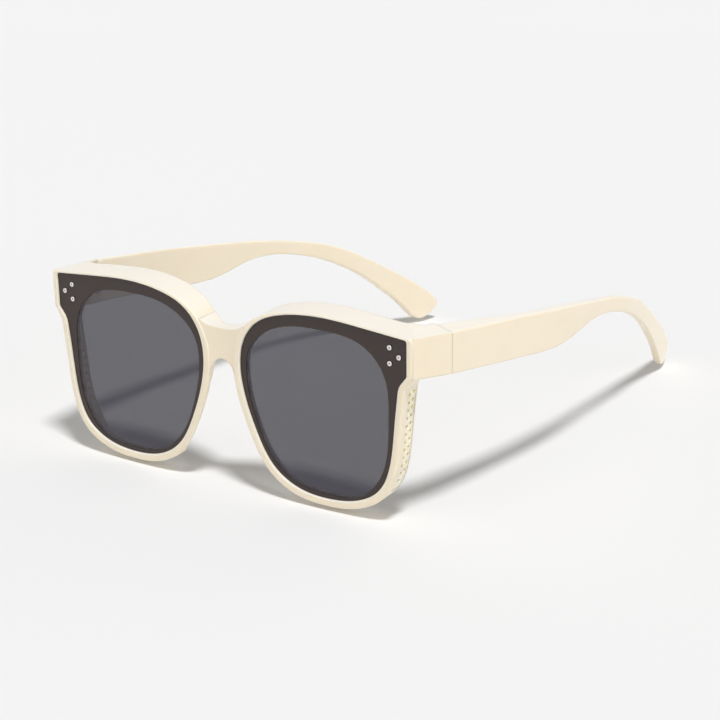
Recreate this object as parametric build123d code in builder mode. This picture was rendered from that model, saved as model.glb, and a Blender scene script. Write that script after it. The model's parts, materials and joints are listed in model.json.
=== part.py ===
from build123d import *
from math import cos, radians, sin, tan
import os

os.makedirs("parts", exist_ok=True)

# Fitover sunglasses, open and standing on the rims and the temple tips.
# X runs across the face, Y from the front to the temple tips, Z up from the table.
# Left and right are the wearer's: the left half stands at +X. Millimetres and degrees.

# Whole object
overall_length = 195.7
lean_angle = 1.6
wrap_angle = 1.5
cut_overrun = 4.0

# Lens: a flat plate that ends in a wing at the outer top corner
lens_width = 60.4
lens_height = 57.2
lens_thickness = 1.2
lens_from_middle = 7.1
lens_above_table = 2.3
lens_recess = 0.8
lens_clearance = 0.05
lens_corner_radius = 1.0
lens_step_radius = 1.4
lens_notch_radius = 6.0
lens_curve_shares = [
    (0.940, 0.630),
    (0.924, 0.490),
    (0.899, 0.287),
    (0.829, 0.115),
    (0.702, 0.030),
    (0.520, 0.000),
    (0.326, 0.028),
    (0.190, 0.119),
    (0.091, 0.290),
    (0.018, 0.507),
    (0.000, 0.663),
    (0.026, 0.794),
    (0.104, 0.902),
    (0.255, 0.972),
    (0.470, 1.000),
    (0.710, 0.988),
]
lens_corner_shares = [(1.000, 0.960), (0.997, 0.765), (0.949, 0.703)]

# Border: the dark band laid on the front of the lens
border_thickness = 0.15
border_rivet_gap = 0.15
border_inner_shares = [
    (0.036, 0.663),
    (0.075, 0.783),
    (0.243, 0.902),
    (0.512, 0.930),
    (0.743, 0.886),
    (0.863, 0.750),
    (0.887, 0.514),
    (0.841, 0.199),
    (0.719, 0.056),
    (0.520, 0.024),
    (0.329, 0.049),
    (0.194, 0.150),
    (0.079, 0.385),
]

# Rivets through the wing of the lens, placed from the outer top corner of the lens
rivet_head_radius = 0.78
rivet_head_height = 0.42
rivet_head_round = 0.3
rivet_shank_radius = 0.45
rivet_grip = 0.5
rivet_clearance = 0.03
rivet_drop_top = 5.35
rivet_drop_middle = 7.9
rivet_drop_bottom = 10.2
rivet_inset_near = 2.85
rivet_inset_far = 6.05

# Front frame: depths are measured back from the front of the rims
rim_border = 2.5
wing_border = 1.9
brow_lip = 0.7
rim_corner_radius = 1.0
rim_edge_radius = 0.55
lip_chamfer = 0.25
ledge_thickness = 0.7
wall_thickness = 1.7
side_wall_depth = 7.8
bottom_wall_depth = 5.0
bottom_wall_rise = 9.0
brow_depth = 10.4
brow_rise_angle = 5.0
brow_height = 12.0
brow_back_shares = [
    (0.045, 0.52),
    (0.080, 0.68),
    (0.130, 0.80),
    (0.200, 0.87),
    (0.300, 0.95),
    (0.430, 1.00),
    (0.600, 0.99),
    (0.750, 0.96),
    (0.860, 0.94),
]
brow_corner_radius = 6.2

# Bridge: a bar hollowed in front, with a thinner arch below it
bridge_drop = 9.5
bridge_height = 10.0
bridge_depth = 5.3
bridge_lap = 1.3
bridge_flare = 1.75
bridge_flare_share = 0.2
bridge_setback = 0.3
bridge_hollow = 0.9
bridge_bar = 5.0
bridge_arch_half = 5.9
bridge_arch_rise = 8.7
bridge_arch_shares = [(0.79, 0.45), (0.60, 0.78)]

# Nose: the walls end short of it, and the rims are splayed towards the back
nose_reach = 10.9
nose_edge = 0.6
nose_splay = 0.6
nose_lift = 1.2
nose_wall_run = 12.0

# Endpieces, from the front to the seam with the temples
seam_depth = 18.6
seam_gap = 0.15
endpiece_start = 1.2
endpiece_wall = 3.8
endpiece_flare = 2.6
endpiece_front_height = 12.75
endpiece_seam_height = 14.65
facet_drop = 1.55
facet_side_angle = 16.0
facet_back_angle = 3.0

# Side vents: a perforated strip set in the side wall of the rim
vent_front = 3.05
vent_rear_rim = 0.6
vent_drop = 3.6
vent_lift = 5.9
vent_clearance = 0.05
vent_sink = 0.15
vent_hole_radius = 0.55
vent_hole_margin = 1.5
vent_hole_pitch = 2.53
vent_hole_inset = 0.95
vent_column_gap = 2.0
vent_stagger = 0.6

# Temples: each section has its place as a share of the length, its top and bottom as shares of
# the height, its outer and inner faces as shares of the half width, and its share of the slope
temple_edge_radius = 0.6
temple_slope_angle = 16.0
temple_section_shares = [
    (0.000, 1.000, 0.747, 1.000, 0.914, 1.0),
    (0.061, 0.976, 0.726, 1.004, 0.931, 1.0),
    (0.118, 0.952, 0.705, 1.006, 0.943, 1.0),
    (0.175, 0.928, 0.684, 1.007, 0.957, 1.0),
    (0.232, 0.904, 0.663, 1.006, 0.964, 1.0),
    (0.345, 0.854, 0.629, 1.001, 0.959, 0.8),
    (0.403, 0.829, 0.639, 0.996, 0.954, 0.6),
    (0.459, 0.803, 0.666, 0.989, 0.947, 0.5),
    (0.515, 0.775, 0.674, 0.975, 0.933, 0.4),
    (0.573, 0.742, 0.653, 0.958, 0.916, 0.2),
    (0.629, 0.703, 0.611, 0.939, 0.897, 0.0),
    (0.687, 0.654, 0.552, 0.917, 0.875, 0.0),
    (0.743, 0.592, 0.474, 0.886, 0.844, 0.0),
    (0.800, 0.505, 0.374, 0.853, 0.811, 0.0),
    (0.857, 0.409, 0.245, 0.818, 0.776, 0.0),
    (0.910, 0.312, 0.105, 0.781, 0.740, 0.0),
    (0.955, 0.222, 0.000, 0.750, 0.709, 0.0),
    (0.978, 0.170, 0.018, 0.733, 0.693, 0.0),
    (0.991, 0.135, 0.043, 0.724, 0.684, 0.0),
    (1.000, 0.100, 0.072, 0.717, 0.679, 0.0),
]

# Hinges: a leaf on each piece, three knuckles, a pin and four small screws
hinge_height = 7.8
hinge_axis_inset = 0.05
knuckle_radius = 1.45
knuckle_gap = 0.1
knuckle_clearance = 0.25
pin_radius = 0.6
pin_clearance = 0.03
pin_head_radius = 1.1
pin_head_height = 0.5
leaf_thickness = 0.9
leaf_length = 8.4
leaf_height = 6.4
leaf_clearance = 0.05
leaf_corner_radius = 0.6
screw_radius = 0.5
screw_head_radius = 0.85
screw_head_height = 0.3
screw_length = 2.2
screw_clearance = 0.02
screw_inset = 1.7
screw_spacing = 3.4

# Places that follow from the sizes above
lens_top = lens_above_table + lens_height
lens_outer = lens_from_middle + lens_width
plate_depth = lens_recess + lens_thickness + ledge_thickness
bridge_top = lens_top - bridge_drop
lean_run = bridge_top * tan(radians(lean_angle))
front_y = -overall_length / 2 + lean_run
seam_y = front_y - lean_run / 2 + seam_depth
hinge_y = seam_y + seam_gap / 2
endpiece_front_half = lens_outer + wing_border
endpiece_inner_half = endpiece_front_half - endpiece_wall
temple_half = endpiece_front_half + endpiece_flare
facet_top = lens_top - facet_drop
facet_rise = endpiece_wall * tan(radians(facet_side_angle))
temple_height = facet_top + facet_rise - seam_depth * tan(radians(facet_back_angle))
endpiece_front_low = facet_top - endpiece_front_height
endpiece_seam_low = temple_height - endpiece_seam_height
hinge_axis_half = endpiece_inner_half - hinge_axis_inset
hinge_middle = temple_height - endpiece_seam_height / 2

across = Vector(cos(radians(wrap_angle)), sin(radians(wrap_angle)), 0)
outward = Vector(
    sin(radians(wrap_angle)) * cos(radians(lean_angle)),
    -cos(radians(wrap_angle)) * cos(radians(lean_angle)),
    -sin(radians(lean_angle)),
)
face = Plane(origin=(0, front_y, 0), x_dir=across, z_dir=outward)
upward = outward.cross(across)
side_view = Plane(origin=face.origin, x_dir=-outward, z_dir=across)
plan_view = Plane(origin=face.origin, x_dir=across, z_dir=upward)
temple_front = seam_y + seam_gap
temple_length = overall_length / 2 - temple_front
leaf_outer = hinge_axis_half + knuckle_radius
leaf_inner = leaf_outer - leaf_thickness
knuckle_height = (hinge_height - 2 * knuckle_gap) / 3
hinge_top = hinge_middle + hinge_height / 2
hinge_low = hinge_middle - hinge_height / 2
hinge_axis = Plane(origin=(hinge_axis_half, hinge_y, hinge_middle))
leaf_plane = Plane.YZ.offset(leaf_inner)
screw_reach = [leaf_length - screw_inset - screw_spacing, leaf_length - screw_inset]
backwards = Vector(
    -sin(radians(wrap_angle)), cos(radians(wrap_angle)), tan(radians(brow_rise_angle))
).normalized()
facet = Plane(
    origin=(endpiece_front_half, front_y, facet_top),
    x_dir=(0, 1, -tan(radians(facet_back_angle))),
    z_dir=(tan(radians(facet_side_angle)), tan(radians(facet_back_angle)), 1),
)


def outline_point(share, grow_side, grow_top):
    """A point of the lens outline, which is grown at its sides and bottom, and at its top."""
    return (
        lens_from_middle - grow_side + share[0] * (lens_width + 2 * grow_side),
        lens_above_table - grow_side + share[1] * (lens_height + grow_side + grow_top),
    )


def front_corners(grow_side, grow_top, grow_wing):
    """The corners of the wing of the lens outline: two on its outer edge and the foot of the notch."""
    corner_points = [outline_point(share, grow_side, grow_top) for share in lens_corner_shares]
    shift = grow_side - grow_wing
    return [(corner_points[0][0] - shift, corner_points[0][1]),
            (corner_points[1][0] - shift, corner_points[1][1]),
            corner_points[2]]


def front_outline(grow_side, grow_top, grow_wing, corner_radius=lens_corner_radius):
    """The outline of the lens, grown or shrunk, with the corners of its wing rounded."""
    curve_points = [outline_point(share, grow_side, grow_top) for share in lens_curve_shares]
    corner_points = front_corners(grow_side, grow_top, grow_wing)
    with BuildSketch() as shape:
        with BuildLine():
            first = Vector(*curve_points[0]) - Vector(*corner_points[-1])
            last = Vector(*corner_points[0]) - Vector(*curve_points[-1])
            curve = Spline(*curve_points, tangents=[first, last])
            Polyline(curve @ 1, *corner_points, curve @ 0)
        make_face()
        fillet(shape.vertices().sort_by_distance(corner_points[0])[0], radius=corner_radius)
        fillet(shape.vertices().sort_by_distance(corner_points[1])[0], radius=lens_step_radius)
        fillet(shape.vertices().sort_by_distance(corner_points[2])[0], radius=lens_notch_radius)
    return shape.sketch


def mirrored(part):
    """The same piece on the wearer's right."""
    return mirror(part, about=Plane.YZ, mode=Mode.PRIVATE)


def write(part, name):
    """Names a finished piece and writes it."""
    part.label = name
    export_step(part, "parts/" + name + ".step")


def side_section(y, sides, heights, slope, first_round):
    """A section across the left temple or endpiece: its top falls outwards by the slope."""
    with BuildSketch(Plane.XZ.offset(-y)) as section:
        with BuildLine():
            Polyline(
                (sides[0], heights[0]),
                (sides[1], heights[0]),
                (sides[1], heights[1] - (sides[1] - sides[0]) * tan(radians(slope))),
                (sides[0], heights[1]),
                close=True,
            )
        make_face()
        fillet(section.vertices().sort_by(Axis.X)[first_round:], radius=temple_edge_radius)
    return section.sketch


def hinge_leaf(direction):
    """A leaf of the left hinge without knuckles: direction is -1 to the front, 1 to the temple."""
    with BuildSketch(leaf_plane) as leaf:
        with Locations((hinge_y + direction * leaf_length / 2, hinge_middle)):
            Rectangle(leaf_length, leaf_height)
        fillet(leaf.vertices().group_by(Axis.Y)[0 if direction < 0 else -1], radius=leaf_corner_radius)
    return extrude(leaf.sketch, amount=leaf_thickness, mode=Mode.PRIVATE)


def knuckle(middle, height, radius):
    """A cylinder about the axis of the left hinge."""
    with BuildSketch(hinge_axis.offset(middle - hinge_middle - height / 2)) as ring:
        Circle(radius)
    return extrude(ring.sketch, amount=height, mode=Mode.PRIVATE)


def screw_places(direction):
    """The middles of the two leaf screws, in the plane of the leaf."""
    return [(hinge_y + direction * reach, hinge_middle) for reach in screw_reach]


def hinge_room(direction):
    """What the left hinge takes out of the plastic on one side of the seam."""
    with BuildPart() as room:
        with BuildSketch(Plane.YZ.offset(leaf_outer + leaf_clearance)):
            with Locations((hinge_y + direction * leaf_length / 2, hinge_middle)):
                Rectangle(leaf_length + 2 * leaf_clearance, leaf_height + 2 * leaf_clearance)
        extrude(amount=-cut_overrun)
        with BuildSketch(leaf_plane):
            with Locations(*screw_places(direction)):
                Circle(screw_radius + screw_clearance)
        extrude(amount=screw_length + leaf_clearance)
        low = hinge_low - knuckle_clearance
        high = hinge_top + pin_head_height + knuckle_clearance
        add(knuckle((low + high) / 2, high - low, knuckle_radius + knuckle_clearance))
    return room.part


# Outlines in the plane of the left half of the front
lens_shape = front_outline(0, 0, 0)
pocket_shape = front_outline(lens_clearance, lens_clearance, lens_clearance)
lip_wide = lens_clearance + 2 * lip_chamfer
lip_narrow = lens_clearance - lip_chamfer
rim_shape = front_outline(rim_border, brow_lip, wing_border, rim_corner_radius)
cavity_shape = front_outline(
    rim_border - wall_thickness, brow_lip - wall_thickness, wing_border - wall_thickness
)

with BuildSketch() as border_hole:
    with BuildLine():
        Spline(*[outline_point(share, 0, 0) for share in border_inner_shares], periodic=True)
    make_face()

bridge_half_width = lens_from_middle + bridge_lap
arch_top = bridge_top - bridge_height
arch_foot = arch_top - bridge_arch_rise
with BuildSketch() as bridge_shape:
    with BuildLine():
        flare_side = bridge_half_width / 2
        flare_top = bridge_top + bridge_flare
        flare_middle = bridge_top + bridge_flare * bridge_flare_share
        crest = Spline(
            (-bridge_half_width, flare_top),
            (-flare_side, flare_middle),
            (0, bridge_top),
            (flare_side, flare_middle),
            (bridge_half_width, flare_top),
        )
        Polyline(crest @ 1, (bridge_half_width, arch_foot), (-bridge_half_width, arch_foot), crest @ 0)
    make_face()


def arch_outline(grow):
    """The arch under the bridge, grown sideways and upwards."""
    half = bridge_arch_half + grow
    rise = bridge_arch_rise + grow
    right = [(half, arch_foot)]
    right += [(share[0] * half, arch_foot + share[1] * rise) for share in bridge_arch_shares]
    left = [(-point[0], point[1]) for point in reversed(right)]
    with BuildSketch() as shape:
        with BuildLine():
            arch = Spline(*right, (0, arch_foot + rise), *left)
            Line(arch @ 1, arch @ 0)
        make_face()
    return shape.sketch


# Left half of the front frame: a shell with a shelf above, side walls and an endpiece
rim_top = lens_top + brow_lip
brow_low = rim_top - brow_height
wall_rear = side_wall_depth - vent_rear_rim
rear = brow_depth + seam_depth
shelf_rear = seam_depth - rim_edge_radius - nose_edge
nose_width = lens_from_middle + nose_reach
vent_top = endpiece_front_low - vent_drop
vent_bottom = lens_above_table + vent_lift
vent_from_middle = lens_outer - brow_height
vent_reach = brow_height + cut_overrun
rivet_hole_radius = rivet_shank_radius + rivet_clearance
rivet_places = [
    (lens_outer - rivet_inset_far, lens_top - rivet_drop_top),
    (lens_outer - rivet_inset_near, lens_top - rivet_drop_middle),
    (lens_outer - rivet_inset_far, lens_top - rivet_drop_bottom),
]

with BuildPart() as nose_relief:
    with BuildSketch(face.offset(-nose_edge)):
        with Locations((-cut_overrun, -cut_overrun)):
            Rectangle(nose_width + cut_overrun, arch_top + cut_overrun, align=Align.MIN)
    extrude(amount=-brow_depth)
    with BuildSketch(face.offset(-nose_edge)):
        add(rim_shape)
    with BuildSketch(face.offset(-plate_depth)):
        with Locations((0, nose_lift)):
            add(front_outline(rim_border - nose_splay, brow_lip, wing_border, rim_corner_radius))
    loft(ruled=True, mode=Mode.SUBTRACT)

# The top of the endpiece follows the shelf first and the facet further back
wing_corner = Vector(*front_corners(rim_border, brow_lip, wing_border)[0])
brow_end = Vector(*outline_point(lens_curve_shares[-1], rim_border, brow_lip))
top_run = (wing_corner - brow_end).normalized()
with BuildPart() as endpiece:
    for y, half, low in (
        (front_y + endpiece_start, endpiece_front_half, endpiece_front_low),
        (seam_y, temple_half, endpiece_seam_low),
    ):
        add(side_section(y, (endpiece_inner_half, half), (low, lens_top + cut_overrun), facet_side_angle, 2))
    loft()
    with BuildSketch(face):
        with BuildLine():
            outer = wing_corner + top_run * (endpiece_flare + cut_overrun)
            lift = Vector(0, 3 * cut_overrun)
            Polyline(brow_end, outer, outer + lift, brow_end + lift, close=True)
        make_face()
    extrude(amount=rear, dir=backwards, mode=Mode.SUBTRACT)

with BuildPart() as bridge:
    with BuildSketch(face):
        add(bridge_shape.sketch)
    extrude(amount=rear, dir=backwards)
    with BuildSketch(plan_view):
        with BuildLine():
            side = bridge_half_width + cut_overrun
            hollow = ThreePointArc(
                (-bridge_arch_half, bridge_setback), (0, bridge_hollow), (bridge_arch_half, bridge_setback)
            )
            Polyline(
                hollow @ 1,
                (side, bridge_setback),
                (side, -cut_overrun),
                (-side, -cut_overrun),
                (-side, bridge_setback),
                hollow @ 0,
            )
        make_face()
    extrude(amount=rim_top, mode=Mode.SUBTRACT)
    with BuildSketch(face):
        add(arch_outline(0))
    with BuildSketch(face.offset(-plate_depth)):
        add(arch_outline(nose_splay))
    loft(mode=Mode.SUBTRACT)

with BuildPart() as front_half:
    with BuildSketch(face):
        add(rim_shape)
    extrude(amount=rear, dir=backwards)
    fillet(front_half.edges().group_by(Axis(face.origin, -outward))[0], radius=rim_edge_radius)
    add(nose_relief.part, mode=Mode.SUBTRACT)
    add(bridge.part)
    with BuildSketch(face.offset(-plate_depth)):
        add(cavity_shape)
    extrude(amount=rear, dir=backwards, mode=Mode.SUBTRACT)
    # the depth of the walls, seen from the side
    with BuildSketch(side_view):
        with BuildLine():
            Polyline(
                (bottom_wall_depth, -cut_overrun),
                (bottom_wall_depth, rim_border),
                (side_wall_depth, bottom_wall_rise),
                (side_wall_depth, brow_low),
                (shelf_rear, brow_low),
                (shelf_rear, rim_top + cut_overrun),
                (rear, rim_top + cut_overrun),
                (rear, -cut_overrun),
                close=True,
            )
        make_face()
    extrude(amount=lens_outer + cut_overrun + rim_border, both=True, mode=Mode.SUBTRACT)
    # the back edge of the bridge and the shelf, seen from above
    with BuildSketch(plan_view.offset(-cut_overrun)) as plan_cut:
        with BuildLine():
            shelf_points = [
                (share[0] * endpiece_inner_half, share[1] * brow_depth) for share in brow_back_shares
            ]
            shelf = Spline((-cut_overrun, bridge_depth), (0, bridge_depth), *shelf_points)
            Polyline(
                shelf @ 1,
                (endpiece_inner_half, shelf_points[-1][1]),
                (endpiece_inner_half, rear),
                (-cut_overrun, rear),
                shelf @ 0,
            )
        make_face()
        shelf_corner = (endpiece_inner_half, shelf_points[-1][1])
        fillet(plan_cut.vertices().sort_by_distance(shelf_corner)[0], radius=brow_corner_radius)
    extrude(amount=rim_top + 3 * cut_overrun, mode=Mode.SUBTRACT)
    # the walls end short of the nose, and the arch is thinner than the bar above it
    with BuildSketch(plan_view.offset(-cut_overrun)):
        with BuildLine():
            Polyline(
                (-cut_overrun, plate_depth),
                (nose_width - rim_border, plate_depth),
                (nose_width + nose_wall_run, bottom_wall_depth),
                (nose_width + nose_wall_run, rear),
                (-cut_overrun, rear),
                close=True,
            )
        make_face()
    extrude(amount=bridge_top - bridge_bar + cut_overrun, mode=Mode.SUBTRACT)
    add(endpiece.part)
    split(bisect_by=facet, keep=Keep.BOTTOM)
    split(bisect_by=Plane.XY, keep=Keep.TOP)
    # the pocket for the lens and the opening behind it
    with BuildSketch(face):
        add(pocket_shape)
    extrude(amount=-(plate_depth - ledge_thickness), mode=Mode.SUBTRACT)
    # the slope of the lip starts in front of the rim and runs on inside the pocket
    with BuildSketch(face.offset(lip_chamfer)):
        add(front_outline(lip_wide, lip_wide, lip_wide))
    with BuildSketch(face.offset(-2 * lip_chamfer)):
        add(front_outline(lip_narrow, lip_narrow, lip_narrow))
    loft(ruled=True, mode=Mode.SUBTRACT)
    with BuildSketch(face):
        add(border_hole.sketch)
    extrude(amount=-plate_depth, mode=Mode.SUBTRACT)
    # the window for the side vent
    with BuildSketch(side_view.offset(vent_from_middle)):
        with Locations((vent_front, vent_bottom)):
            Rectangle(wall_rear - vent_front, vent_top - vent_bottom, align=Align.MIN)
    extrude(amount=vent_reach, mode=Mode.SUBTRACT)
    add(hinge_room(-1), mode=Mode.SUBTRACT)
    for place in rivet_places:
        with Locations(face):
            with Locations(place):
                Hole(radius=rivet_hole_radius, depth=plate_depth - ledge_thickness + rivet_grip)
    split(bisect_by=Plane.YZ, keep=Keep.TOP)

with BuildPart() as front_frame:
    add(front_half.part)
    mirror(front_half.part, about=Plane.YZ)

# Lens, border and rivets of the left side
with BuildPart() as lens_left:
    with BuildSketch(face.offset(-lens_recess)):
        add(lens_shape)
    extrude(amount=-lens_thickness)
    for place in rivet_places:
        with Locations(face.offset(-lens_recess)):
            with Locations(place):
                Hole(radius=rivet_hole_radius, depth=lens_thickness)

with BuildPart() as border_left:
    with BuildSketch(face.offset(-lens_recess)):
        add(lens_shape)
        add(border_hole.sketch, mode=Mode.SUBTRACT)
        with Locations(*rivet_places):
            Circle(rivet_head_radius + border_rivet_gap, mode=Mode.SUBTRACT)
    extrude(amount=border_thickness)

rivets_left = []
for place in rivet_places:
    rivet_plane = Plane(origin=face.offset(-lens_recess).from_local_coords(place), z_dir=outward)
    with BuildPart() as rivet:
        with BuildSketch(rivet_plane):
            Circle(rivet_shank_radius)
        extrude(amount=-lens_thickness - rivet_grip)
        with BuildSketch(rivet_plane):
            Circle(rivet_head_radius)
        extrude(amount=rivet_head_height)
        fillet(rivet.edges().sort_by(Axis(rivet_plane.origin, outward))[-1], radius=rivet_head_round)
    rivets_left.append(rivet.part)

# Side vent: a strip of the side wall with two staggered columns of holes
with BuildPart() as vent_left:
    with BuildSketch(face):
        add(front_outline(rim_border - vent_sink, brow_lip, wing_border))
    extrude(amount=side_wall_depth, dir=backwards)
    with BuildSketch(face.offset(-plate_depth)):
        add(cavity_shape)
    extrude(amount=side_wall_depth, dir=backwards, mode=Mode.SUBTRACT)
    with BuildSketch(side_view.offset(vent_from_middle)):
        with Locations((vent_front + vent_clearance, vent_bottom + vent_clearance)):
            Rectangle(
                wall_rear - vent_front - 2 * vent_clearance,
                vent_top - vent_bottom - 2 * vent_clearance,
                align=Align.MIN,
            )
    extrude(amount=vent_reach, mode=Mode.INTERSECT)
    inner_column = vent_front + vent_hole_inset
    hole_top = vent_top - vent_hole_margin - vent_stagger
    inner_holes = int((hole_top - vent_bottom - vent_hole_margin) / vent_hole_pitch) + 1
    vent_holes = [(inner_column, hole_top - count * vent_hole_pitch) for count in range(inner_holes)]
    vent_holes += [
        (inner_column + vent_column_gap, hole_top + vent_stagger - count * vent_hole_pitch)
        for count in range(inner_holes - 1)
    ]
    with BuildSketch(side_view.offset(vent_from_middle)):
        with Locations(*vent_holes):
            Circle(vent_hole_radius)
    extrude(amount=vent_reach, mode=Mode.SUBTRACT)

# Temple of the left side
with BuildPart() as temple_left:
    for place, top, low, outer, inner, slope in temple_section_shares:
        section = side_section(
            temple_front + place * temple_length,
            (inner * temple_half, outer * temple_half),
            (low * temple_height, top * temple_height),
            slope * temple_slope_angle,
            0,
        )
        add(section)
    loft()
    add(hinge_room(1), mode=Mode.SUBTRACT)

# Hinge of the left side
knuckle_step = knuckle_height + knuckle_gap
notch_height = knuckle_height + 2 * knuckle_gap
notch_radius = knuckle_radius + knuckle_gap
with BuildPart() as hinge_frame_left:
    add(hinge_leaf(-1))
    add(knuckle(hinge_middle, notch_height, notch_radius), mode=Mode.SUBTRACT)
    add(knuckle(hinge_middle + knuckle_step, knuckle_height, knuckle_radius))
    add(knuckle(hinge_middle - knuckle_step, knuckle_height, knuckle_radius))
    add(knuckle(hinge_middle, hinge_height, pin_radius + pin_clearance), mode=Mode.SUBTRACT)
    with BuildSketch(leaf_plane):
        with Locations(*screw_places(-1)):
            Circle(screw_radius + screw_clearance)
    extrude(amount=leaf_thickness, mode=Mode.SUBTRACT)

with BuildPart() as hinge_temple_left:
    add(hinge_leaf(1))
    for middle in (hinge_middle + knuckle_step, hinge_middle - knuckle_step):
        add(knuckle(middle, notch_height, notch_radius), mode=Mode.SUBTRACT)
    add(knuckle(hinge_middle, knuckle_height, knuckle_radius))
    add(knuckle(hinge_middle, hinge_height, pin_radius + pin_clearance), mode=Mode.SUBTRACT)
    with BuildSketch(leaf_plane):
        with Locations(*screw_places(1)):
            Circle(screw_radius + screw_clearance)
    extrude(amount=leaf_thickness, mode=Mode.SUBTRACT)

with BuildPart() as hinge_pin_left:
    add(knuckle(hinge_middle, hinge_height, pin_radius))
    add(knuckle(hinge_top + pin_head_height / 2, pin_head_height, pin_head_radius))


def leaf_screws(direction):
    """The two screws of one leaf of the left hinge."""
    with BuildPart() as screws:
        with BuildSketch(leaf_plane):
            with Locations(*screw_places(direction)):
                Circle(screw_radius)
        extrude(amount=screw_length)
        with BuildSketch(leaf_plane):
            with Locations(*screw_places(direction)):
                Circle(screw_head_radius)
        extrude(amount=-screw_head_height)
    return screws.part


left_parts = {
    "lens": lens_left.part,
    "lens_border": border_left.part,
    "side_vent": vent_left.part,
    "rivet_top": rivets_left[0],
    "rivet_middle": rivets_left[1],
    "rivet_bottom": rivets_left[2],
    "hinge_frame": hinge_frame_left.part,
    "hinge_temple": hinge_temple_left.part,
    "hinge_pin": hinge_pin_left.part,
    "frame_screws": leaf_screws(-1),
    "temple_screws": leaf_screws(1),
    "temple": temple_left.part,
}
for name, piece in left_parts.items():
    write(piece, name + "_left")
    write(mirrored(piece), name + "_right")
front_frame.part.label = "front_frame"
export_step(front_frame.part, "parts/front_frame.step")
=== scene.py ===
"""Fitover sunglasses: finishes, rivets, screws, floor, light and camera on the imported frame."""
import json
import logging
import math
from dataclasses import dataclass, replace
from enum import Enum

import bmesh
import bpy
from bpy.types import Material, NodeSocket, Object
from mathutils import Matrix, Vector

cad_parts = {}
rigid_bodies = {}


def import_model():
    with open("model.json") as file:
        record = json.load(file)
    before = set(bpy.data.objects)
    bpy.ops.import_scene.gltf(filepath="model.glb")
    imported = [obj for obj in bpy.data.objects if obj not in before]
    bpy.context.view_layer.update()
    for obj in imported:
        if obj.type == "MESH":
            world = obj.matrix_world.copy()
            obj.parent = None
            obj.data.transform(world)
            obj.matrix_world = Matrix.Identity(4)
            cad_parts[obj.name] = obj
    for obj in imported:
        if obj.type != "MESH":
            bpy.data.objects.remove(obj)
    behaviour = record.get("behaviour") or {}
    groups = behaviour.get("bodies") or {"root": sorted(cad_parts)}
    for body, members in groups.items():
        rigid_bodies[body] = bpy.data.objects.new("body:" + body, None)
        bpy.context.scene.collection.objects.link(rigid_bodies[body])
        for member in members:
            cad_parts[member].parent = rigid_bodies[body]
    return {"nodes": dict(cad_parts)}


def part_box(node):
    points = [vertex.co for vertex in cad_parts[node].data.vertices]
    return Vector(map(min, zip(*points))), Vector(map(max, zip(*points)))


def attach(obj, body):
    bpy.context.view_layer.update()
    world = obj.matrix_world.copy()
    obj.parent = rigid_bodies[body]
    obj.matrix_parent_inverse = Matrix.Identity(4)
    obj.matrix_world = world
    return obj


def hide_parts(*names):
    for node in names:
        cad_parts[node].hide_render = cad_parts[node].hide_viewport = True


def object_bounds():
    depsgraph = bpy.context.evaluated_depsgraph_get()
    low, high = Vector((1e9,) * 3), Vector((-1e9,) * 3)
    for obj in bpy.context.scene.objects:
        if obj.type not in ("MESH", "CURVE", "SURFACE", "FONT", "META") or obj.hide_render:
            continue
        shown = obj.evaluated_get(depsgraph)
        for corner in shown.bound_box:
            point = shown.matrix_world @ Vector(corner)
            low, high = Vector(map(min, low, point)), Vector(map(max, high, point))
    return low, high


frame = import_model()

CAD_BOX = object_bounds()
MM = 0.001
WHITE = (1.0, 1.0, 1.0, 1.0)

# How the lenses sit in the front, as in the CAD part: angles in degrees, lengths in mm.
LENS_LEAN = 1.6
LENS_WRAP = 1.5
LENS_RECESS = 0.8
BORDER_THICKNESS = 0.15

# The sRGB curve: a straight toe, then a power.
SRGB_TOE = 10
SRGB_TOE_SLOPE = 12.92
SRGB_LIFT = 0.055
SRGB_POWER = 2.4

log = logging.getLogger("sunglasses")

Screen = tuple[int, int, int]
Shade = tuple[float, float, float, float]


class Side(Enum):
    """The wearer's side, with its sign along X."""

    LEFT = 1
    RIGHT = -1

    @property
    def word(self) -> str:
        """The side's name as the nodes spell it."""
        return self.name.lower()


class Place(Enum):
    """Where a rivet sits in the wing of a lens."""

    TOP = "top"
    MIDDLE = "middle"
    BOTTOM = "bottom"


class Leaf(Enum):
    """A leaf of a hinge, by what it is screwed to."""

    FRAME = "frame"
    TEMPLE = "temple"


class Slot(Enum):
    """The record's slot for a metal finish, which the script does not use."""

    METAL = "metal"


def shade(red: int, green: int, blue: int) -> Shade:
    """Turns a screen colour into the linear colour that a shader takes.

    Args:
        red: Red on the screen, 0 to 255.
        green: Green on the screen, 0 to 255.
        blue: Blue on the screen, 0 to 255.

    Returns:
        The linear colour with full alpha.
    """
    linear = [
        ((c / 255 + SRGB_LIFT) / (1 + SRGB_LIFT)) ** SRGB_POWER
        if c > SRGB_TOE
        else c / 255 / SRGB_TOE_SLOPE
        for c in (red, green, blue)
    ]
    return (linear[0], linear[1], linear[2], 1.0)


def lens_facing(side: Side) -> Vector:
    """Gives the direction that a lens faces.

    Args:
        side: The wearer's side.

    Returns:
        The unit vector.
    """
    lean, wrap = math.radians(LENS_LEAN), math.radians(LENS_WRAP)
    flat = math.cos(lean)
    return Vector((side.value * math.sin(wrap) * flat, -math.cos(wrap) * flat, -math.sin(lean)))


def rim_face() -> float:
    """Measures how far out the rims' front faces lie along the direction of the left lens.

    Returns:
        The distance from the origin, in metres.
    """
    border = frame["nodes"]["lens_border_left"]
    outward = lens_facing(Side.LEFT)
    front = max(outward.dot(border.matrix_world @ vertex.co) for vertex in border.data.vertices)
    return front + (LENS_RECESS - BORDER_THICKNESS) * MM


@dataclass(frozen=True)
class Grain:
    """A noise pattern: its repeats in a metre, and its layers of finer pattern."""

    scale: float
    detail: float


@dataclass(frozen=True)
class Tone:
    """A colour that drifts between a light and a deep shade."""

    light: Screen
    deep: Screen
    grain: Grain


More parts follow.
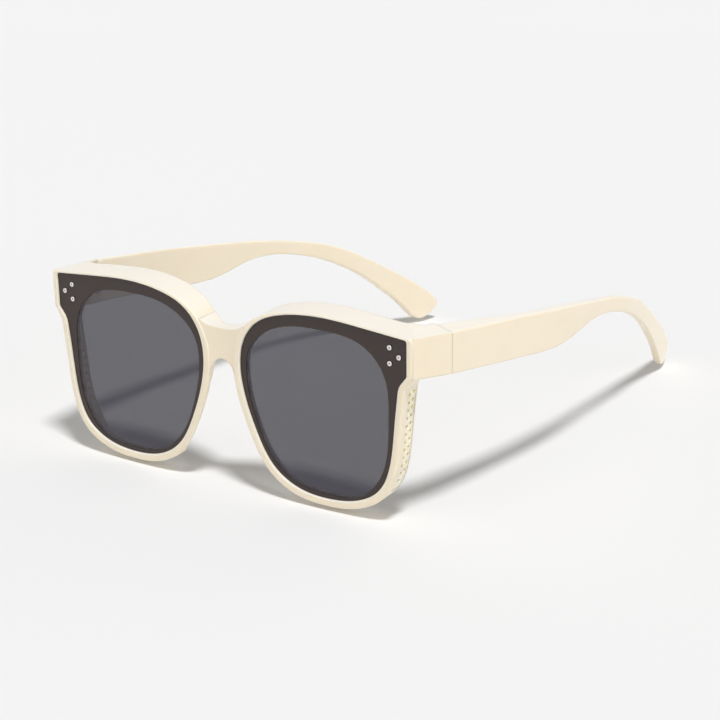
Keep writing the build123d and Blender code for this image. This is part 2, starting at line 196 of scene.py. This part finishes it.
@dataclass(frozen=True)
class Polish:
    """A roughness, and how far it drifts below and above."""

    roughness: float
    less: float
    more: float
    grain: Grain


@dataclass(frozen=True)
class Relief:
    """A fine relief: how strongly it shows, and its depth in metres."""

    strength: float
    depth: float
    grain: Grain


@dataclass(frozen=True)
class Hollow:
    """How corners and hollows are found.

    The reach is how near a wall has to be, in metres. A point belongs to a hollow from the
    openness start, and in full from the openness end.
    """

    reach: float
    start: float = 0.92
    end: float = 0.45


@dataclass(frozen=True)
class Stain:
    """Another colour painted into the hollows, and how much of it shows there: painted shade where
    it is darker, painted light where it is lighter.
    """

    colour: Screen
    share: float
    hollow: Hollow


@dataclass(frozen=True)
class Lip:
    """A painted highlight along the lips of the rims, lightening their edges and the hollows
    beside them.

    The width is how far it reaches from an edge, the slack how far it may lie from the plane of
    the front faces, and the margin how far it stays off the outer corners, all in metres.
    """

    colour: Screen
    width: float
    slack: float
    margin: float
    hollow: Hollow


class Nodes:
    """A node tree, with short ways to add and join nodes."""

    def __init__(self, tree: bpy.types.NodeTree) -> None:
        """Takes the tree that the nodes go into."""
        self.tree = tree

    def node(self, kind: str, **values: object) -> bpy.types.Node:
        """Adds a node.

        Args:
            kind: The node's type.
            **values: Its properties, and its input sockets by name with underscores.

        Returns:
            The new node.
        """
        made = self.tree.nodes.new(kind)
        for key, value in values.items():
            socket = made.inputs.get(key.replace("_", " "))
            if socket is not None:
                socket.default_value = value
            else:
                setattr(made, key, value)
        return made

    def join(self, source: NodeSocket, target: NodeSocket) -> None:
        """Links two sockets."""
        self.tree.links.new(source, target)

    def feed(self, value: NodeSocket | float | Shade, target: NodeSocket) -> None:
        """Gives an input a link or a constant.

        Args:
            value: The socket that it is linked to, or the constant.
            target: The input.
        """
        if isinstance(value, NodeSocket):
            self.join(value, target)
        else:
            target.default_value = value

    def combine(self, operation: str, one: NodeSocket, two: NodeSocket | float) -> NodeSocket:
        """Works out one value from two.

        Args:
            operation: How, as a math node names it.
            one: The first value.
            two: The second value.

        Returns:
            The result's socket.
        """
        made = self.node("ShaderNodeMath", operation=operation)
        self.join(one, made.inputs[0])
        self.feed(two, made.inputs[1])
        return made.outputs[0]

    def axis(self, vector: NodeSocket, name: str) -> NodeSocket:
        """Gives one axis of a vector.

        Args:
            vector: The vector's socket.
            name: X, Y or Z.

        Returns:
            The axis's socket.
        """
        parts = self.node("ShaderNodeSeparateXYZ")
        self.join(vector, parts.inputs[0])
        return parts.outputs[name]


class Graph(Nodes):
    """A material's node tree, with the parts that the finishes share."""

    NOISE_LOW = 0.3
    NOISE_HIGH = 0.7
    EDGE_START = 0.995
    EDGE_FULL = 0.95
    BEVEL_SAMPLES = 6
    HOLLOW_SAMPLES = 8
    # Sockets of a colour mix node, whose names repeat for its other kinds of data.
    FACTOR = 0
    BELOW = 6
    ABOVE = 7
    MIXED = 2

    def __init__(self, name: str) -> None:
        """Starts a material with its main shader.

        Args:
            name: The material's name.
        """
        self.material = bpy.data.materials.new(name)
        self.material.use_nodes = True
        super().__init__(self.material.node_tree)
        self.shader = self.tree.nodes["Principled BSDF"]

    def set(self, **values: object) -> None:
        """Sets constant values on the main shader's own sockets."""
        for key, value in values.items():
            self.shader.inputs[key.replace("_", " ")].default_value = value

    def noise(self, grain: Grain) -> NodeSocket:
        """Adds a noise pattern on Object coordinates.

        Args:
            grain: The pattern.

        Returns:
            The pattern's value socket.
        """
        place = self.node("ShaderNodeTexCoord")
        pattern = self.node("ShaderNodeTexNoise", Scale=grain.scale, Detail=grain.detail)
        self.join(place.outputs["Object"], pattern.inputs["Vector"])
        return pattern.outputs["Fac"]

    def spread(self, grain: Grain, low: float, high: float) -> NodeSocket:
        """Maps the middle range of a noise pattern onto low to high.

        Args:
            grain: The pattern.
            low: The result at the pattern's low end.
            high: The result at its high end.

        Returns:
            The mapped socket.
        """
        made = self.node(
            "ShaderNodeMapRange",
            From_Min=self.NOISE_LOW, From_Max=self.NOISE_HIGH, To_Min=low, To_Max=high,
        )
        self.join(self.noise(grain), made.inputs["Value"])
        return made.outputs["Result"]

    def ramp(self, value: NodeSocket, start: float, end: float) -> NodeSocket:
        """Maps start to 0 and end to 1, smoothly and without going past either.

        Args:
            value: What is mapped.
            start: The value that becomes 0.
            end: The value that becomes 1.

        Returns:
            The mapped socket.
        """
        made = self.node(
            "ShaderNodeMapRange", interpolation_type="SMOOTHSTEP", From_Min=start, From_Max=end
        )
        self.join(value, made.inputs["Value"])
        return made.outputs["Result"]

    def mix(
        self, factor: NodeSocket, below: NodeSocket | Shade, above: Screen, share: float = 1.0
    ) -> NodeSocket:
        """Lays a colour over another by a pattern.

        Args:
            factor: The pattern.
            below: The colour below.
            above: The colour above.
            share: How much of the colour above shows where the pattern is 1.

        Returns:
            The mixed colour's socket.
        """
        made = self.node("ShaderNodeMix", data_type="RGBA")
        made.inputs[self.ABOVE].default_value = shade(*above)
        self.feed(below, made.inputs[self.BELOW])
        if share < 1.0:
            factor = self.combine("MULTIPLY", factor, share)
        self.join(factor, made.inputs[self.FACTOR])
        return made.outputs[self.MIXED]

    def tone(self, tone: Tone) -> NodeSocket:
        """Makes a drifting colour."""
        return self.mix(self.spread(tone.grain, 0.0, 1.0), shade(*tone.deep), tone.light)

    def recess(self, hollow: Hollow) -> NodeSocket:
        """Finds corners and hollows.

        Args:
            hollow: How they are found.

        Returns:
            1 deep in a hollow, 0 in the open.
        """
        openness = self.node(
            "ShaderNodeAmbientOcclusion", samples=self.HOLLOW_SAMPLES, Distance=hollow.reach
        )
        return self.ramp(openness.outputs["AO"], hollow.start, hollow.end)

    def stain(self, body: NodeSocket, stain: Stain) -> NodeSocket:
        """Paints another colour into the hollows of a body colour: painted shade where it is
        darker, painted light where it is lighter.
        """
        return self.mix(self.recess(stain.hollow), body, stain.colour, stain.share)

    def rounded(self, radius: float) -> NodeSocket:
        """Gives the normal with a piece's edges rounded over a radius in metres."""
        made = self.node("ShaderNodeBevel", samples=self.BEVEL_SAMPLES, Radius=radius)
        return made.outputs["Normal"]

    def edges(self, radius: float) -> NodeSocket:
        """Finds the edges of a piece.

        Args:
            radius: The width of an edge in metres.

        Returns:
            1 at an edge, 0 away from it.
        """
        turn = self.node("ShaderNodeVectorMath", operation="DOT_PRODUCT")
        self.join(self.rounded(radius), turn.inputs[0])
        self.join(self.node("ShaderNodeNewGeometry").outputs["Normal"], turn.inputs[1])
        return self.ramp(turn.outputs["Value"], self.EDGE_START, self.EDGE_FULL)

    def near_rim_face(self, slack: float, margin: float) -> NodeSocket:
        """Finds what lies close to the plane of the rims' front faces.

        Args:
            slack: How far from that plane still counts, in metres.
            margin: What is left out at the outer corners, in metres.

        Returns:
            1 near the plane, 0 elsewhere.
        """
        outward = lens_facing(Side.LEFT)
        mirrored = self.node("ShaderNodeVectorMath", operation="ABSOLUTE")
        self.join(self.node("ShaderNodeTexCoord").outputs["Object"], mirrored.inputs[0])
        place = mirrored.outputs["Vector"]
        depth = self.node("ShaderNodeVectorMath", operation="DOT_PRODUCT")
        depth.inputs[1].default_value = (outward.x, -outward.y, outward.z)
        self.join(place, depth.inputs[0])
        near = self.node("ShaderNodeMath", operation="COMPARE")
        for socket, value in zip(near.inputs, (depth.outputs["Value"], rim_face(), slack)):
            self.feed(value, socket)
        inside = self.combine("LESS_THAN", self.axis(place, "X"), CAD_BOX[1][0] - margin)
        return self.combine("MULTIPLY", near.outputs[0], inside)

    def finish(
        self, body: NodeSocket, polish: Polish, relief: Relief | None = None,
        normal: NodeSocket | None = None,
    ) -> None:
        """Joins colour, roughness and relief to the main shader.

        Args:
            body: The colour.
            polish: The roughness.
            relief: The fine relief.
            normal: The normal that the relief is laid on.
        """
        self.join(body, self.shader.inputs["Base Color"])
        low, high = polish.roughness - polish.less, polish.roughness + polish.more
        self.join(self.spread(polish.grain, low, high), self.shader.inputs["Roughness"])
        if relief is None:
            return
        made = self.node("ShaderNodeBump", Strength=relief.strength, Distance=relief.depth)
        self.join(self.noise(relief.grain), made.inputs["Height"])
        if normal is not None:
            self.join(normal, made.inputs["Normal"])
        self.join(made.outputs["Normal"], self.shader.inputs["Normal"])


@dataclass(frozen=True)
class MouldedPlastic:
    """Cream moulded plastic: a faint drift of tone, fine orange peel, soft edges, and painted
    light that makes up-facing faces paler.
    """

    name: str
    tone: Tone
    polish: Polish
    relief: Relief
    softness: float = 0.6 * MM
    depth: float = 0.25
    gloss: float = 0.15
    bloom: float = 0.2
    # Painted light: faces that turn up blend towards a paler colour, as if lit from above.
    pale: Screen = (246, 239, 227)
    pale_share: float = 0.9
    pale_from: float = 0.45
    pale_to: float = 0.97
    lip: Lip | None = None
    holes: Stain | None = None

    def make(self) -> Material:
        """Builds the finish.

        Returns:
            The material.
        """
        graph = Graph(self.name)
        normal = graph.rounded(self.softness)
        # Painted light: the more a face turns up, the paler its colour.
        top = graph.ramp(graph.axis(normal, "Z"), self.pale_from, self.pale_to)
        body = graph.mix(top, graph.tone(self.tone), self.pale, self.pale_share)
        # Painted highlight: a near-white line on the lips' edges and in the hollows beside them,
        # near the plane of the rims' front faces.
        if self.lip:
            line = graph.combine(
                "MAXIMUM", graph.edges(self.lip.width), graph.recess(self.lip.hollow)
            )
            front = graph.near_rim_face(self.lip.slack, self.lip.margin)
            body = graph.mix(graph.combine("MULTIPLY", line, front), body, self.lip.colour)
        # Painted light: the hollows of the vent holes take a pale warm yellow, lighter than the
        # shade that falls there.
        if self.holes:
            body = graph.stain(body, self.holes)
        graph.finish(body, self.polish, self.relief, normal)
        graph.set(
            IOR=1.5,
            Coat_Weight=self.gloss,
            Coat_Roughness=0.2,
            Sheen_Weight=self.bloom,
            Sheen_Roughness=0.45,
            Subsurface_Weight=self.depth,
            Subsurface_Radius=(1.0, 0.75, 0.4),
            Subsurface_Scale=1.2 * MM,
        )
        return graph.material


@dataclass(frozen=True)
class TintedLens:
    """A flat grey sheet that lets a little light through."""

    name: str
    tone: Tone
    polish: Polish
    cover: float

    def make(self) -> Material:
        """Builds the finish.

        Returns:
            The material.
        """
        graph = Graph(self.name)
        graph.finish(graph.tone(self.tone), self.polish)
        graph.set(Alpha=self.cover, IOR=1.5)
        return graph.material


@dataclass(frozen=True)
class StainedCoat:
    """A surface with painted shade in its hollows: dark ink, or plated metal."""

    name: str
    tone: Tone
    polish: Polish
    relief: Relief
    stain: Stain
    metallic: float = 0.0

    def make(self) -> Material:
        """Builds the finish.

        Returns:
            The material.
        """
        graph = Graph(self.name)
        graph.finish(graph.stain(graph.tone(self.tone), self.stain), self.polish, self.relief)
        graph.set(Metallic=self.metallic)
        return graph.material


CREAM = MouldedPlastic(
    "cream_plastic",
    tone=Tone(light=(245, 232, 208), deep=(242, 228, 202), grain=Grain(38.0, 2.0)),
    polish=Polish(roughness=0.36, less=0.05, more=0.07, grain=Grain(160.0, 4.0)),
    relief=Relief(strength=0.12, depth=0.03 * MM, grain=Grain(2600.0, 2.0)),
)
CREAM_FRONT = replace(
    CREAM,
    name="cream_front_plastic",
    # A painted highlight along the rims' lips.
    lip=Lip(
        colour=(255, 253, 246),
        width=0.45 * MM,
        slack=0.3 * MM,
        margin=1.8 * MM,
        hollow=Hollow(reach=1.0 * MM, start=0.97, end=0.85),
    ),
)
CREAM_VENT = MouldedPlastic(
    "cream_vent_plastic",
    tone=Tone(light=(255, 240, 218), deep=(252, 236, 210), grain=Grain(38.0, 2.0)),
    polish=Polish(roughness=0.42, less=0.05, more=0.07, grain=Grain(160.0, 4.0)),
    relief=Relief(strength=0.16, depth=0.03 * MM, grain=Grain(2600.0, 2.0)),
    softness=0.2 * MM,
    depth=0.8,
    # Painted light: a pale warm yellow in the hollows of the holes.
    holes=Stain(
        colour=(255, 238, 176), share=1.0, hollow=Hollow(reach=0.9 * MM, start=0.9, end=0.6)
    ),
)
GREY_LENS = TintedLens(
    "grey_lens",
    tone=Tone(light=(41, 38, 60), deep=(38, 35, 57), grain=Grain(22.0, 1.0)),
    polish=Polish(roughness=0.06, less=0.0, more=0.03, grain=Grain(60.0, 2.0)),
    cover=0.66,
)
DARK_INK = StainedCoat(
    "dark_border_ink",
    tone=Tone(light=(52, 38, 32), deep=(46, 33, 28), grain=Grain(900.0, 3.0)),
    polish=Polish(roughness=0.34, less=0.04, more=0.05, grain=Grain(120.0, 2.0)),
    relief=Relief(strength=0.15, depth=0.01 * MM, grain=Grain(2400.0, 1.0)),
    # Painted shade: the ink darkens in its hollows, along the lips of the rims and round the
    # rivets.
    stain=Stain(colour=(18, 12, 8), share=0.9, hollow=Hollow(reach=0.9 * MM)),
)
NICKEL = StainedCoat(
    "satin_nickel",
    tone=Tone(light=(240, 236, 236), deep=(222, 218, 218), grain=Grain(700.0, 4.0)),
    polish=Polish(roughness=0.4, less=0.06, more=0.1, grain=Grain(1500.0, 3.0)),
    relief=Relief(strength=0.1, depth=0.01 * MM, grain=Grain(4000.0, 2.0)),
    # Painted shade: the metal darkens in its hollows, in the rivets' dimples, round their heads
    # and in the slots.
    stain=Stain(colour=(58, 52, 50), share=0.95, hollow=Hollow(reach=0.4 * MM)),
    metallic=1.0,
)


def wear_finish(thing: Object, finish: Material) -> None:
    """Gives an object one finish all over."""
    thing.data.materials.clear()
    thing.data.materials.append(finish)


def only(thing: Object) -> None:
    """Selects one object and nothing else.

    Args:
        thing: The object that becomes active.
    """
    for other in bpy.context.view_layer.objects:
        other.select_set(False)
    thing.select_set(True)
    bpy.context.view_layer.objects.active = thing


def pick_cap(thing: Object, upper: bool) -> None:
    """Leaves the end face of an upright shape selected in edit mode.

    Args:
        thing: The object in edit mode.
        upper: True for the highest face, False for the lowest.
    """
    level, same_height = 0.95, 1e-7
    bpy.ops.mesh.select_all(action="DESELECT")
    shape = bmesh.from_edit_mesh(thing.data)
    flat = [face for face in shape.faces if abs(face.normal.z) > level]
    heights = [face.calc_center_median().z for face in flat]
    wanted = max(heights) if upper else min(heights)
    ends = [face for face, height in zip(flat, heights) if abs(height - wanted) < same_height]
    cap = min(ends, key=lambda face: face.calc_center_median().xy.length + face.calc_area())
    cap.select_set(True)
    bmesh.update_edit_mesh(thing.data)


def settle(thing: Object, place: Matrix) -> None:
    """Moves the mesh of a finished piece to its place and leaves the object at the origin.

    Args:
        thing: The piece, modelled upright at the origin.
        place: Where it goes.
    """
    thing.data.transform(place)
    thing.matrix_world = Matrix.Identity(4)
    thing.data.update()


def aimed(spot: Vector, direction: Vector, turn: float = 0.0) -> Matrix:
    """Gives the place at a spot with its Z along a direction, turned about it by degrees."""
    facing = direction.to_track_quat("Z", "Y").to_matrix().to_4x4()
    return Matrix.Translation(spot) @ facing @ Matrix.Rotation(math.radians(turn), 4, "Z")


@dataclass(frozen=True)
class Fastener:
    """A round-headed fastener, modelled head up with its head's underside at the origin, in mm."""

    name: str
    head_radius: float
    head_height: float
    shank_radius: float
    shank_length: float
    slot_width: float = 0.0
    dimple: float = 0.0
    sides: int = 40
    smooth_angle: float = 35.0
    round_share: float = 0.22
    round_steps: int = 3
    # Each ring of a rivet's crown: its width as a share of the head's radius, and its rise.
    rings: tuple[tuple[float, float], ...] = ((0.16, 0.0), (0.2, 0.035), (0.24, 0.02))
    dimple_wall: float = 0.04
    # The blade that cuts the slot, against the head's radius and height.
    blade_reach: float = 3.0
    blade_depth: float = 1.1

    def _head(self) -> Object:
        """Makes the head with its shank and, on a rivet, its crown.

        Returns:
            The head.
        """
        bpy.ops.object.select_all(action="DESELECT")
        bpy.ops.mesh.primitive_cylinder_add(
            vertices=self.sides, radius=self.head_radius * MM, depth=self.head_height * MM,
            location=(0, 0, self.head_height * MM / 2),
        )
        head = bpy.context.object
        bpy.ops.object.transform_apply(location=True, rotation=True, scale=True)
        bpy.ops.object.mode_set(mode="EDIT")
        if self.dimple:
            self._crown(head)
        pick_cap(head, upper=False)
        bpy.ops.mesh.inset(thickness=(self.head_radius - self.shank_radius) * MM, depth=0)
        bpy.ops.mesh.extrude_region_move(
            TRANSFORM_OT_translate={"value": (0, 0, -self.shank_length * MM)}
        )
        bpy.ops.object.mode_set(mode="OBJECT")
        return head

    def _crown(self, head: Object) -> None:
        """Domes the top of a rivet and sinks a dimple in its middle.

        Args:
            head: The head in edit mode.
        """
        pick_cap(head, upper=True)
        for width, rise in (*self.rings, (self.dimple_wall, -self.dimple)):
            bpy.ops.mesh.inset(thickness=width * self.head_radius * MM, depth=0)
            bpy.ops.transform.translate(value=(0, 0, rise * MM))

    def _cut_slot(self, head: Object) -> None:
        """Cuts a driver slot across the head.

        Args:
            head: The finished head.
        """
        bpy.ops.object.select_all(action="DESELECT")
        bpy.ops.mesh.primitive_cube_add(size=1, location=(0, 0, self.head_height * MM))
        blade = bpy.context.object
        reach, depth = self.blade_reach * self.head_radius, self.blade_depth * self.head_height
        blade.scale = (reach * MM, self.slot_width * MM, depth * MM)
        bpy.ops.object.transform_apply(location=True, rotation=True, scale=True)
        only(head)
        cut = head.modifiers.new("slot", "BOOLEAN")
        cut.object = blade
        cut.solver = "EXACT"
        bpy.ops.object.modifier_apply(modifier=cut.name)
        bpy.data.objects.remove(blade, do_unlink=True)

    def _round_over(self, head: Object) -> None:
        """Rounds the sharp edges of the head.

        Args:
            head: The head with its shank.
        """
        only(head)
        edge = head.modifiers.new("round", "BEVEL")
        edge.width = self.round_share * self.head_height * MM
        edge.segments = self.round_steps
        edge.limit_method = "ANGLE"
        bpy.ops.object.modifier_apply(modifier=edge.name)

    def make(self, places: list[Matrix], finish: Material) -> Object:
        """Builds one fastener, copies it to every place and joins the copies.

        Args:
            places: Where each one goes.
            finish: Its material.

        Returns:
            The piece.
        """
        first = self._head()
        first.name = self.name
        self._round_over(first)
        if self.slot_width:
            self._cut_slot(first)
        wear_finish(first, finish)
        bpy.ops.object.shade_smooth_by_angle(angle=math.radians(self.smooth_angle))
        copies = [first]
        for _ in places[1:]:
            twin = first.copy()
            twin.data = first.data.copy()
            bpy.context.collection.objects.link(twin)
            copies.append(twin)
        for piece, place in zip(copies, places):
            settle(piece, place)
        if len(copies) > 1:
            only(first)
            for piece in copies[1:]:
                piece.select_set(True)
            bpy.ops.object.join()
        return first


@dataclass
class Front:
    """The front frame with its vents, lenses and borders, which keep their solids."""

    cream: Material
    vent: Material
    lens: Material
    ink: Material

    def dress(self) -> None:
        """Gives each solid of the front its finish."""
        nodes = frame["nodes"]
        wear_finish(nodes["front_frame"], self.cream)
        for side in Side:
            wear_finish(nodes[f"side_vent_{side.word}"], self.vent)
            wear_finish(nodes[f"lens_{side.word}"], self.lens)
            wear_finish(nodes[f"lens_border_{side.word}"], self.ink)
            log.info("dressed the %s lens, border and vent", side.word)


@dataclass
class Temples:
    """The two temples, which keep their solids."""

    cream: Material

    def dress(self) -> None:
        """Gives both temples their finish."""
        for side in Side:
            wear_finish(frame["nodes"][f"temple_{side.word}"], self.cream)
            log.info("dressed the %s temple", side.word)


@dataclass
class Rivets:
    """The small rivets in the wing of each lens."""

    metal: Material
    shape: Fastener = Fastener(
        "rivet",
        head_radius=0.78, head_height=0.42, shank_radius=0.45, shank_length=1.7, dimple=0.28,
    )

    def make(self) -> None:
        """Models every rivet in the place of its solid."""
        for side in Side:
            outward = lens_facing(side)
            for place in Place:
                node = f"rivet_{place.value}_{side.word}"
                low, high = (Vector(corner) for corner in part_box(node))
                foremost = Vector(((low.x + high.x) / 2, low.y, (low.z + high.z) / 2))
                base = foremost - outward * self.shape.head_height * MM
                rivet = replace(self.shape, name=f"{node}_head")
                piece = rivet.make([aimed(base, outward)], self.metal)
                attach(piece, "front")
                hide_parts(node)
                log.info("made %s", piece.name)


@dataclass
class Hinges:
    """The hinge leaves, which keep their solids, and their pins and screws."""

    metal: Material
    leaf_screw: Fastener = Fastener(
        "screw",
        head_radius=0.85, head_height=0.3, shank_radius=0.5, shank_length=2.2, slot_width=0.26,
    )
    pin: Fastener = Fastener(
        "pin",
        head_radius=1.1, head_height=0.5, shank_radius=0.6, shank_length=7.8, slot_width=0.34,
    )
    # How far the slots are turned, in degrees.
    frame_turns: tuple[float, float] = (20.0, -35.0)
    temple_turns: tuple[float, float] = (65.0, 10.0)
    pin_turn: float = 25.0

    def _screws(self, side: Side, leaf: Leaf, turns: tuple[float, float]) -> None:
        """Models the two screws of a leaf.

        Args:
            side: The wearer's side.
            leaf: The leaf that they hold.
            turns: How far each slot is turned, in degrees.
        """
        part = leaf.value
        node = f"{part}_screws_{side.word}"
        low, high = (Vector(corner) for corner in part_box(node))
        radius = self.leaf_screw.head_radius * MM
        inner = low.x if side is Side.LEFT else high.x
        under_head = inner + side.value * self.leaf_screw.head_height * MM
        height = (low.z + high.z) / 2
        inward = Vector((-side.value, 0, 0))
        places = [
            aimed(Vector((under_head, y, height)), inward, turn)
            for y, turn in zip((low.y + radius, high.y - radius), turns)
        ]
        piece = replace(self.leaf_screw, name=f"{node}_slotted").make(places, self.metal)
        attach(piece, "front" if part == "frame" else f"temple_{side.word}")
        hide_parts(node)
        log.info("made %s", piece.name)

    def _pin(self, side: Side) -> None:
        """Models the pin of a hinge.

        Args:
            side: The wearer's side.
        """
        node = f"hinge_pin_{side.word}"
        low, high = (Vector(corner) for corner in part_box(node))
        under_head = high.z - self.pin.head_height * MM
        spot = Vector(((low.x + high.x) / 2, (low.y + high.y) / 2, under_head))
        place = aimed(spot, Vector((0, 0, 1)), self.pin_turn)
        piece = replace(self.pin, name=f"{node}_slotted").make([place], self.metal)
        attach(piece, "front")
        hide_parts(node)
        log.info("made %s", piece.name)

    def make(self) -> None:
        """Dresses the leaves and models the pins and screws."""
        for side in Side:
            for leaf, turns in zip(Leaf, (self.frame_turns, self.temple_turns)):
                wear_finish(frame["nodes"][f"hinge_{leaf.value}_{side.word}"], self.metal)
                self._screws(side, leaf, turns)
            self._pin(side)


@dataclass(frozen=True)
class SoftLamp:
    """A broad lamp far away: where it shines to, how strongly and how softly."""

    name: str
    direction: tuple[float, float, float]
    strength: float
    softness: float

    def hang(self) -> None:
        """Adds the lamp."""
        bpy.ops.object.select_all(action="DESELECT")
        bpy.ops.object.light_add(type="SUN")
        lamp = bpy.context.object
        lamp.name = self.name
        lamp.data.energy = self.strength
        lamp.data.angle = math.radians(self.softness)
        lamp.rotation_euler = Vector(self.direction).to_track_quat("-Z", "Y").to_euler()


@dataclass
class Studio:
    """A pale floor, soft light from above, from low down and from one side, and the camera."""

    paper: Tone = Tone(light=(245, 245, 245), deep=(244, 244, 244), grain=Grain(3.0, 1.0))
    floor_size: float = 30.0
    floor_drop: float = 1.5 * MM
    sky_low: float = 1.02
    sky_high: float = 0.27
    sky_fade: float = 0.6
    key: SoftLamp = SoftLamp(
        "studio_key", direction=(-0.33, 0.28, -1.0), strength=2.08, softness=10.0
    )
    fill: SoftLamp = SoftLamp(
        "studio_fill", direction=(-1.0, 0.0, -0.35), strength=0.28, softness=60.0
    )
    camera_place: tuple[float, float, float] = (0.42145, -0.62082, 0.24815)
    camera_turn: tuple[float, float, float] = (72.748, 0.228, 35.136)
    camera_lens: float = 114.79
    camera_sensor: float = 36.0
    camera_near: float = 0.01

    def _floor(self) -> None:
        """Lays a wide pale floor."""
        bpy.ops.object.select_all(action="DESELECT")
        bpy.ops.mesh.primitive_plane_add(size=self.floor_size, location=(0, 0, -self.floor_drop))
        floor = bpy.context.object
        floor.name = "studio_floor"
        graph = Graph("studio_paper")
        graph.join(graph.tone(self.paper), graph.shader.inputs["Base Color"])
        graph.set(Roughness=1.0, Specular_IOR_Level=0.0)
        wear_finish(floor, graph.material)

    def _sky(self) -> None:
        """Lights from all round, most from low down, and shows the paper's colour."""
        world = bpy.data.worlds.new("studio_sky")
        bpy.context.scene.world = world
        world.use_nodes = True
        sky = Nodes(world.node_tree)
        sky.tree.nodes.clear()
        way = sky.node("ShaderNodeTexCoord").outputs["Generated"]
        fade = sky.node(
            "ShaderNodeMapRange",
            From_Max=self.sky_fade, To_Min=self.sky_low, To_Max=self.sky_high,
        )
        sky.join(sky.axis(way, "Z"), fade.inputs["Value"])
        light = sky.node("ShaderNodeBackground", Color=WHITE)
        sky.join(fade.outputs["Result"], light.inputs["Strength"])
        shown = sky.node("ShaderNodeBackground", Color=shade(*self.paper.deep))
        ray = sky.node("ShaderNodeLightPath").outputs
        seen = sky.combine("MAXIMUM", ray["Is Camera Ray"], ray["Is Glossy Ray"])
        seen = sky.combine("MAXIMUM", seen, ray["Is Transmission Ray"])
        choice = sky.node("ShaderNodeMixShader")
        for source, target in zip((seen, light.outputs[0], shown.outputs[0]), choice.inputs):
            sky.join(source, target)
        end = sky.node("ShaderNodeOutputWorld")
        sky.join(choice.outputs[0], end.inputs["Surface"])

    def _camera(self) -> None:
        """Sets the camera where the photograph was taken from."""
        view = bpy.data.cameras.new("studio_camera")
        view.lens = self.camera_lens
        view.sensor_width = self.camera_sensor
        view.clip_start = self.camera_near
        camera = bpy.data.objects.new("studio_camera", view)
        bpy.context.collection.objects.link(camera)
        camera.location = self.camera_place
        camera.rotation_euler = [math.radians(angle) for angle in self.camera_turn]
        bpy.context.scene.camera = camera

    def make(self) -> None:
        """Sets up the floor, the light and the camera."""
        self._floor()
        self._sky()
        self.key.hang()
        self.fill.hang()
        self._camera()
        bpy.context.scene.view_settings.view_transform = "Standard"
        log.info("set the studio up")


def main() -> None:
    """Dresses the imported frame, adds the small metal parts and sets the studio up."""
    logging.basicConfig(level=logging.INFO, format="%(message)s")
    cream = CREAM.make()
    nickel = NICKEL.make()
    Front(CREAM_FRONT.make(), CREAM_VENT.make(), GREY_LENS.make(), DARK_INK.make()).dress()
    Temples(cream).dress()
    Rivets(nickel).make()
    Hinges(nickel).make()
    Studio().make()


if __name__ == "__main__":
    main()
